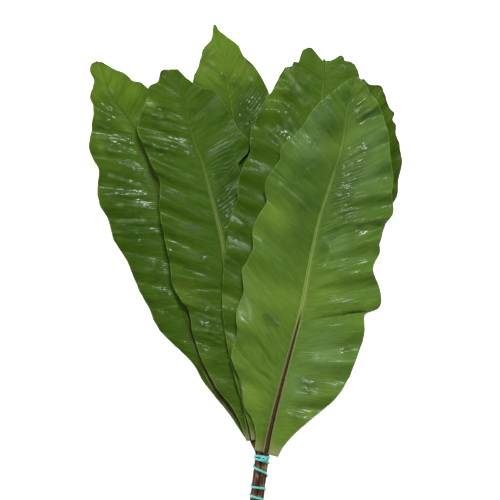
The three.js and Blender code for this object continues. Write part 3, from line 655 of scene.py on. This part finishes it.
def start_tube(name, path, sides):
    """A grid with a row for each point of a path, each vertex's row and turn round it, and the way ahead."""
    piece = add_primitive(name, bpy.ops.mesh.primitive_grid_add, x_subdivisions=sides,
                          y_subdivisions=len(path) - 1, size=2)
    grid = vertex_places(piece.data)
    row = np.rint((grid[:, 1] + 1) / 2 * (len(path) - 1)).astype(int)
    return piece, row, (grid[:, 0] + 1) / 2, unit(np.gradient(path, axis=0))


def roll_up(piece, centre, sideways, upward, turn, radius, walked):
    """Rolls the grid up round its path, sews the seam and closes both ends."""
    angle = -2 * np.pi * turn
    out = sideways * np.cos(angle)[:, None] + upward * np.sin(angle)[:, None]
    set_uv(piece.data, np.column_stack([turn * 2 * np.pi * np.mean(radius), walked]))
    set_vertices(piece.data, centre + out * radius[:, None])
    bpy.ops.object.mode_set(mode="EDIT")
    bpy.ops.mesh.select_all(action="SELECT")
    bpy.ops.mesh.remove_doubles(threshold=1e-6)
    bpy.ops.mesh.fill_holes(sides=0)
    bpy.ops.mesh.normals_make_consistent(inside=False)
    bpy.ops.object.mode_set(mode="OBJECT")


def smooth_along(walked, values, at):
    """Values joined by a smooth curve with no overshoot, read at distances along it."""
    slope = np.gradient(values, walked)
    i = np.clip(np.searchsorted(walked, at) - 1, 0, len(walked) - 2)
    span = walked[i + 1] - walked[i]
    w = (at - walked[i]) / span
    return (values[i] * (1 + 2 * w) * (1 - w) ** 2 + slope[i] * span * w * (1 - w) ** 2
            + values[i + 1] * w ** 2 * (3 - 2 * w) + slope[i + 1] * span * w ** 2 * (w - 1))


def make_stalk(name, frond, seed):
    """A stalk: from its cut end through the tie, and on as the brown rib that lies in the blade."""
    sideways, upwards = frond["seat"]
    straight = []
    for distance in (CUT_LENGTH + frond["cut"] * MM, 60 * MM, 30 * MM, 6 * MM, -1 * MM):
        place = TIE_TOP + BUNDLE_DIRECTION * distance + BUNDLE_RIGHT * sideways * STALK_PITCH
        place[2] = BUNDLE_HEIGHT + upwards * STALK_PITCH
        straight.append(place)
    t = np.linspace(0, 1, 61) * frond["brown_end"]
    plan = curve_through(frond["rib"], t)[0]
    radius = brown_rib_radius(frond, t)
    height = profile(frond["level"], t) * MM - RIB_SINK * radius / STALK_RADIUS
    on_blade = np.column_stack([plan, height])
    path = np.vstack([straight, on_blade[::6]])
    path_radius = np.concatenate([[STALK_RADIUS] * len(straight), radius[::6]])
    walked = walked_along(path)
    # The first rings are close together and round off the cut
    fine = np.concatenate([[0, 0.15 * MM, 0.6 * MM],
                           np.arange(STALK_STEP, walked[-1] / MM, STALK_STEP) * MM])
    smooth = np.column_stack([smooth_along(walked, path[:, k], fine) for k in range(3)])
    fine_radius = np.interp(fine, walked, path_radius)
    fine_radius[0] *= 0.9

    piece, row, turn, ahead = start_tube(f"{name}_stalk", smooth, STALK_SIDES)
    angle = -2 * np.pi * turn
    side = unit(np.cross(ahead, [0, 0, 1]))
    up = np.cross(side, ahead)
    # A furrow runs down the upper face and low ridges down the flanks
    grooved = 1 - 0.10 * np.exp(-((angle + 1.5 * np.pi) / 0.35) ** 2) + 0.03 * np.cos(5 * angle + seed)
    knotty = 1 + 0.05 * soft_noise(fine[row] / KNOTTY_SIZE, 5 + 1.2 * np.cos(angle), seed + 5)
    radii = fine_radius[row] * grooved * knotty
    roll_up(piece, smooth[row], side[row], up[row], turn, radii, fine[row])
    finish_piece(piece, "stalk", f"frond_{name}_stalk", stalk_skin)


def make_string():
    """The elastic string, wound down the bundle in a spiral, and flat where it lies on the surface."""
    half_turns = len(TIE_TURNS) - 1
    share = np.linspace(0, 1, half_turns * STRING_STEPS + 1)
    turned = np.pi * (1 + half_turns * share)
    down = profile(TIE_TURNS, share) * MM
    outward = BUNDLE_RIGHT * np.cos(turned)[:, None] + np.array([0, 0, -1]) * np.sin(turned)[:, None]
    path = TIE_TOP + BUNDLE_DIRECTION * down[:, None] + outward * (BUNDLE_RADIUS + STRETCHED_HEIGHT)
    path[:, 2] += BUNDLE_HEIGHT
    piece, row, turn, ahead = start_tube("tie_string", path, STRING_SIDES)
    side = unit(np.cross(ahead, outward))
    radii = np.full(len(row), STRETCHED_WIDTH)
    flat = outward[row] * STRETCHED_HEIGHT / STRETCHED_WIDTH
    roll_up(piece, path[row], side[row], flat, turn, radii, walked_along(path)[row])
    co = vertex_places(piece.data)
    co[:, 2] = np.maximum(co[:, 2], 0)
    set_vertices(piece.data, co)
    finish_piece(piece, "string", "tie", elastic)


def make_knot():
    """The knot of the string: a tight small ring of it, on top of the first turn."""
    place = TIE_TOP + BUNDLE_DIRECTION * KNOT_DOWN + BUNDLE_RIGHT * KNOT_RIGHT
    place[2] = BUNDLE_HEIGHT + BUNDLE_RADIUS + 2 * STRETCHED_HEIGHT
    piece = add_primitive("tie_knot", bpy.ops.mesh.primitive_torus_add, major_radius=KNOT_RADIUS,
                          minor_radius=KNOT_CORD_RADIUS, major_segments=40, minor_segments=20,
                          generate_uvs=True)
    # The ring is drawn long, bent up and down, and turned
    co = vertex_places(piece.data) * (1.6, 0.9, 0.9)
    co[:, 2] += 0.5 * MM * np.sin(co[:, 0] / (1.2 * MM))
    cos, sin = math.cos(KNOT_SLANT), math.sin(KNOT_SLANT)
    turned = np.column_stack([co[:, 0] * cos + co[:, 1] * sin, co[:, 1] * cos - co[:, 0] * sin, co[:, 2]])
    set_vertices(piece.data, turned + place)
    # The ring's own layout runs from 0 to 1, so it is stretched to metres as the string's is
    layout = piece.data.uv_layers[0].data
    corner = np.zeros(2 * len(layout))
    layout.foreach_get("uv", corner)
    layout.foreach_set("uv", (corner.reshape(-1, 2)[:, ::-1] * (7 * MM, 12 * MM)).ravel())
    finish_piece(piece, "string", "tie", elastic)


def srgb(code):
    """A linear colour from an sRGB hex value."""
    parts = [int(code[i:i + 2], 16) / 255 for i in (1, 3, 5)]
    return [p / 12.92 if p <= 0.04045 else ((p + 0.055) / 1.055) ** 2.4 for p in parts] + [1]


def new_material(name):
    material = bpy.data.materials.new(name)
    material.use_nodes = True
    material.node_tree.nodes.clear()
    return material


def node(material, kind, sockets=None, **settings):
    """A new node's outputs. A socket takes a value or the output of another node."""
    made = material.node_tree.nodes.new("ShaderNode" + kind)
    for key, value in settings.items():
        setattr(made, key, value)
    for key, value in (sockets or {}).items():
        if isinstance(value, bpy.types.NodeSocket):
            material.node_tree.links.new(value, made.inputs[key])
        else:
            made.inputs[key].default_value = value
    return made.outputs


def stained(material, colour, where, stain, strength=1):
    """A colour with a stain over it. Where is one of the mesh's attributes, or the output of a node."""
    if isinstance(where, str):
        where = node(material, "Attribute", attribute_name=where)["Fac"]
    if strength != 1:
        where = node(material, "Math", {0: where, 1: strength}, operation="MULTIPLY")[0]
    return node(material, "MixRGB", {"Fac": where, "Color1": colour, "Color2": srgb(stain)})["Color"]


def shaded(material, colour, where, shade):
    """A colour made darker by a shade where the output of a node is low."""
    shade = stained(material, srgb(shade), where, "#ffffff")
    mixed = {"Fac": 1, "Color1": colour, "Color2": shade}
    return node(material, "MixRGB", mixed, blend_type="MULTIPLY")["Color"]


def finished(material, colour, relief, strength, depth, sockets):
    """A material with its colour, the bump of its relief and the rest of its finish."""
    bump = node(material, "Bump", {"Height": relief, "Strength": strength, "Distance": depth})[0]
    if "Coat Weight" in sockets:
        sockets["Coat Normal"] = bump
    shader = node(material, "BsdfPrincipled", {"Base Color": colour, "Normal": bump, **sockets})[0]
    node(material, "OutputMaterial", {"Surface": shader})
    return material


def make_upper_side():
    """Fern leaf, upper side: a leathery skin with a waxy film, which shines in streaks on every ripple."""
    m = new_material("leaf_upper_side")
    coordinates = node(m, "TexCoord")
    here, uv = coordinates["Object"], coordinates["UV"]
    # The green varies in patches of 45 mm and a mottle of 7 mm
    patches = node(m, "TexNoise", {"Vector": here, "Scale": 22, "Detail": 3, "Roughness": 0.55})["Fac"]
    mottle = node(m, "TexNoise", {"Vector": here, "Scale": 150, "Detail": 6, "Roughness": 0.78})["Fac"]
    veins = node(m, "TexWave", {"Vector": uv, "Scale": VEIN_SCALE, "Distortion": 1.2, "Detail": 1,
                                "Detail Scale": 0.6}, bands_direction="Y")["Fac"]
    green = stained(m, srgb("#466b12"), patches, "#76a32a")
    green = stained(m, green, mottle, "#92ab34", 0.45)
    green = stained(m, green, veins, "#35560f", 0.13)
    # Light and dark streaks along the side veins, 4 mm broad and 16 mm long
    drawn_out = node(m, "Mapping", {"Vector": uv, "Scale": (62, 260, 1)})[0]
    streaks = node(m, "TexNoise", {"Vector": drawn_out, "Scale": 1, "Detail": 8, "Roughness": 0.72})["Fac"]
    streak_tone = node(m, "MapRange", {"Value": streaks, "From Min": 0.3, "From Max": 0.7})[0]
    green = shaded(m, green, streak_tone, "#bcc2bc")
    # A lower tone, partly the green's own and partly painted shade, is darker and a little bluer too
    tone, rib_place, rib_line, film, deep, from_margin = (
        node(m, "Attribute", attribute_name=name)["Fac"]
        for name in ("tone", "rib_place", "rib_line", "film", "deep", "from_margin"))
    tone = node(m, "MapRange", {"Value": tone, "From Min": 0.48, "From Max": 1.2})[0]
    green = shaded(m, green, tone, "#98aa9c")
    # Some places have a dull bloom, partly painted sheen, and some are younger and paler. The foot, where
    # the blade was stripped from the stalk, is dry, and the crests of narrow creases and combs are painted
    # paler as a painted highlight
    for place, stain, strength in (("bloom", "#7d9c6a", 1), ("pale", "#9fb848", 0.16),
                                   ("foot", "#b9b283", 0.4), ("crease", "#a3bb84", 0.4)):
        green = stained(m, green, place, stain, strength)
    # Pale lines run down the middle and both edges of the rib, which turns greyish tan where it is brown
    turned = node(m, "Math", {0: rib_place, 1: 2 * math.pi}, operation="MULTIPLY")[0]
    lines = node(m, "Math", {0: turned}, operation="COSINE")[0]
    lines = node(m, "MapRange", {"Value": lines, "From Min": -1, "To Min": 0.2, "To Max": 0.7})[0]
    on_rib = node(m, "MapRange", {"Value": rib_place, "From Min": 1, "From Max": 1.3, "To Min": 1,
                                  "To Max": 0})[0]
    on_rib = node(m, "Math", {0: rib_line, 1: on_rib}, operation="MULTIPLY")[0]
    rib_share = node(m, "Math", {0: lines, 1: on_rib}, operation="MULTIPLY")[0]
    rib = stained(m, stained(m, srgb("#33300f"), "rib_pale", "#a0b063"), "is_brown", "#8f8a68")
    green = node(m, "MixRGB", {"Fac": rib_share, "Color1": green, "Color2": rib})["Color"]
    green = stained(m, green, "brown_core", "#3c2410")
    # A wet leaf is darker, since its film lets the light in. Spots of painted shade add a deeper green where
    # shade falls
    wet_and_shade = node(m, "MapRange", {"Value": film, "From Min": 0.22, "From Max": 0.46, "To Max": 0.36})[0]
    deep = node(m, "Math", {0: deep, 1: 0.3}, operation="MULTIPLY")[0]
    wet_and_shade = node(m, "Math", {0: wet_and_shade, 1: deep}, operation="ADD", use_clamp=True)[0]
    green = stained(m, green, wet_and_shade, "#2b4a10")
    # The margin has a thin pale rim, which is wider near the foot as painted light over the shade between
    # blades, and old scars on it are dried brown
    rim = node(m, "MapRange", {"Value": from_margin, "From Min": 0.3 * MM, "From Max": 1.1 * MM,
                               "To Min": 0.24, "To Max": 0})[0]
    green = stained(m, green, rim, "#95b25e")
    green = stained(m, green, "scar", "#4b3d22")
    # The film is wetter in patches of 26 mm. Side veins and a grain of 1.4 mm roughen it
    wet = node(m, "TexNoise", {"Vector": here, "Scale": 38, "Detail": 3})["Fac"]
    wet = node(m, "MapRange", {"Value": wet, "From Min": 0.42, "From Max": 0.58, "To Min": 0.12,
                               "To Max": 1.7})[0]
    wet = node(m, "Math", {0: film, 1: wet}, operation="MULTIPLY")[0]
    grain = node(m, "TexNoise", {"Vector": here, "Scale": 700, "Detail": 2})["Fac"]
    grain = node(m, "Math", {0: grain, 1: 0.5}, operation="MULTIPLY")[0]
    relief = node(m, "Math", {0: veins, 1: grain}, operation="ADD")[0]
    return finished(m, green, relief, 0.35, 0.2 * MM, {
        "Roughness": 0.52, "IOR": 1.45, "Specular IOR Level": 0.07, "Coat Weight": wet,
        "Coat Roughness": 0.17, "Coat IOR": 1.4})


def make_under_side():
    """Fern leaf, underside: paler and matt, with the side veins standing out and the rib brown."""
    m = new_material("leaf_underside")
    coordinates = node(m, "TexCoord")
    veins = node(m, "TexWave", {"Vector": coordinates["UV"], "Scale": VEIN_SCALE, "Distortion": 1.2},
                 bands_direction="Y")["Fac"]
    # Patches of about 33 mm
    patches = node(m, "TexNoise", {"Vector": coordinates["Object"], "Scale": 30, "Detail": 3})["Fac"]
    green = stained(m, srgb("#6c8f45"), patches, "#86a65c")
    green = stained(m, green, veins, "#9db873", 0.25)
    from_rib = node(m, "Attribute", attribute_name="from_rib")["Fac"]
    on_rib = node(m, "MapRange", {"Value": from_rib, "From Max": 1 * MM, "To Min": 0.9, "To Max": 0})[0]
    green = stained(m, green, on_rib, "#6a5334")
    return finished(m, green, veins, 0.6, 0.15 * MM, {"Roughness": 0.6, "IOR": 1.45})


def make_stalk_skin():
    """Fern stalk: a hard woody skin, dark brown with reddish streaks along it and tan patches that are
    partly a painted highlight, a little shiny.
    """
    m = new_material("stalk_skin")
    coordinates = node(m, "TexCoord")
    uv = coordinates["UV"]
    # Streaks are 1 mm broad and 100 mm long, and patches about 11 mm
    stretched = node(m, "Mapping", {"Vector": uv, "Scale": (1000, 10, 1)})[0]
    streaks = node(m, "TexNoise", {"Vector": stretched, "Scale": 1, "Detail": 3, "Roughness": 0.6})["Fac"]
    broad = node(m, "TexNoise", {"Vector": coordinates["Object"], "Scale": 90, "Detail": 2})["Fac"]
    brown = stained(m, srgb("#200f08"), streaks, "#693a1e")
    # Only the bare stalks have tan patches, partly a painted highlight along the stalks. The rib in the
    # blade is a darker, greener brown
    walked = node(m, "SeparateXYZ", {0: uv})["Y"]
    tan = node(m, "MapRange", {"Value": broad, "From Min": 0.5, "From Max": 0.66, "To Max": 0.8})[0]
    bare = node(m, "MapRange", {"Value": walked, "From Min": 70 * MM, "From Max": 95 * MM, "To Min": 1,
                                "To Max": 0})[0]
    tan = node(m, "Math", {0: tan, 1: bare}, operation="MULTIPLY")[0]
    brown = stained(m, brown, tan, "#9a8a52")
    on_blade = node(m, "MapRange", {"Value": walked, "From Min": 70 * MM, "From Max": 110 * MM,
                                    "To Max": 0.6})[0]
    brown = stained(m, brown, on_blade, "#36220f")
    return finished(m, brown, streaks, 0.7, 0.2 * MM,
                    {"Roughness": 0.45, "IOR": 1.5, "Specular IOR Level": 0.3})


def make_elastic():
    """Elastic string: rubber under a tight turquoise thread, wound at a slant, with a soft shine."""
    m = new_material("covered_elastic")
    uv = node(m, "TexCoord")["UV"]
    slanted = node(m, "Mapping", {"Vector": uv, "Rotation": (0, 0, math.radians(25))})[0]
    thread = node(m, "TexWave", {"Vector": slanted, "Scale": THREAD_SCALE}, bands_direction="Y")["Fac"]
    colour = stained(m, srgb("#3dbcae"), thread, "#8aeadd")
    return finished(m, colour, thread, 0.6, 0.15 * MM, {"Roughness": 0.38, "IOR": 1.5})


upper_side = make_upper_side()
under_side = make_under_side()
stalk_skin = make_stalk_skin()
elastic = make_elastic()

for place_in_pile, (name, frond) in enumerate(FRONDS.items()):
    make_blade(name, frond, seed=10 * place_in_pile + 1)
    make_stalk(name, frond, seed=10 * place_in_pile + 6)
make_string()
make_knot()


def make_floor():
    floor = add_primitive("floor", bpy.ops.mesh.primitive_plane_add, size=8, location=(0, 0, -FLOOR_GAP))
    m = new_material("white_floor")
    shader = node(m, "BsdfPrincipled", {"Base Color": srgb("#f6f6f6"), "Roughness": 0.9,
                                        "Emission Color": srgb("#ffffff"), "Emission Strength": 0.95})[0]
    node(m, "OutputMaterial", {"Surface": shader})
    floor.data.materials.append(m)


def add_light(name, place, size, power):
    """A rectangular soft light that points at the bunch."""
    light = bpy.data.lights.new(name, "AREA")
    light.shape = "RECTANGLE"
    light.size, light.size_y = size
    light.energy = power
    lamp = bpy.data.objects.new(name, light)
    bpy.context.scene.collection.objects.link(lamp)
    lamp.location = place
    lamp.rotation_euler = (-Vector(place)).to_track_quat("-Z", "Y").to_euler()


def make_walls():
    """A world with pale walls all round and a darker ceiling."""
    world = bpy.data.worlds.new("studio")
    world.use_nodes = True
    world.node_tree.nodes.clear()
    upward = node(world, "SeparateXYZ", {0: node(world, "TexCoord")["Generated"]})["Z"]
    glow = node(world, "MapRange", {"Value": upward, "From Min": 0, "From Max": 1, "To Min": 0.17,
                                    "To Max": 0.035})[0]
    walls = node(world, "Background", {"Color": srgb("#ffffff"), "Strength": glow})[0]
    node(world, "OutputWorld", {"Surface": walls})
    bpy.context.scene.world = world


def add_camera():
    """The photograph looks straight down on the bunch and cuts off the ends of the stalks."""
    camera = bpy.data.cameras.new("camera")
    camera.sensor_width = SENSOR_WIDTH
    camera.lens = SENSOR_WIDTH * (CAMERA_HEIGHT - LEAF_HEIGHT) / FRAME_WIDTH
    eye = bpy.data.objects.new("camera", camera)
    bpy.context.scene.collection.objects.link(eye)
    eye.location = (0.0054, 0.030, CAMERA_HEIGHT)
    bpy.context.scene.camera = eye


make_floor()
add_light("key", (0.35, 1.5, 2.8), (0.8, 0.4), 70)
add_light("fill", (-1.8, -1.0, 2.6), (2.0, 2.0), 3)
add_light("left key", (-0.8, 1.05, 2.8), (0.5, 0.3), 22)
add_light("side", (-2.5, 0.2, 1.1), (1.2, 1.2), 12)
make_walls()
add_camera()
bpy.context.scene.view_settings.view_transform = "Standard"
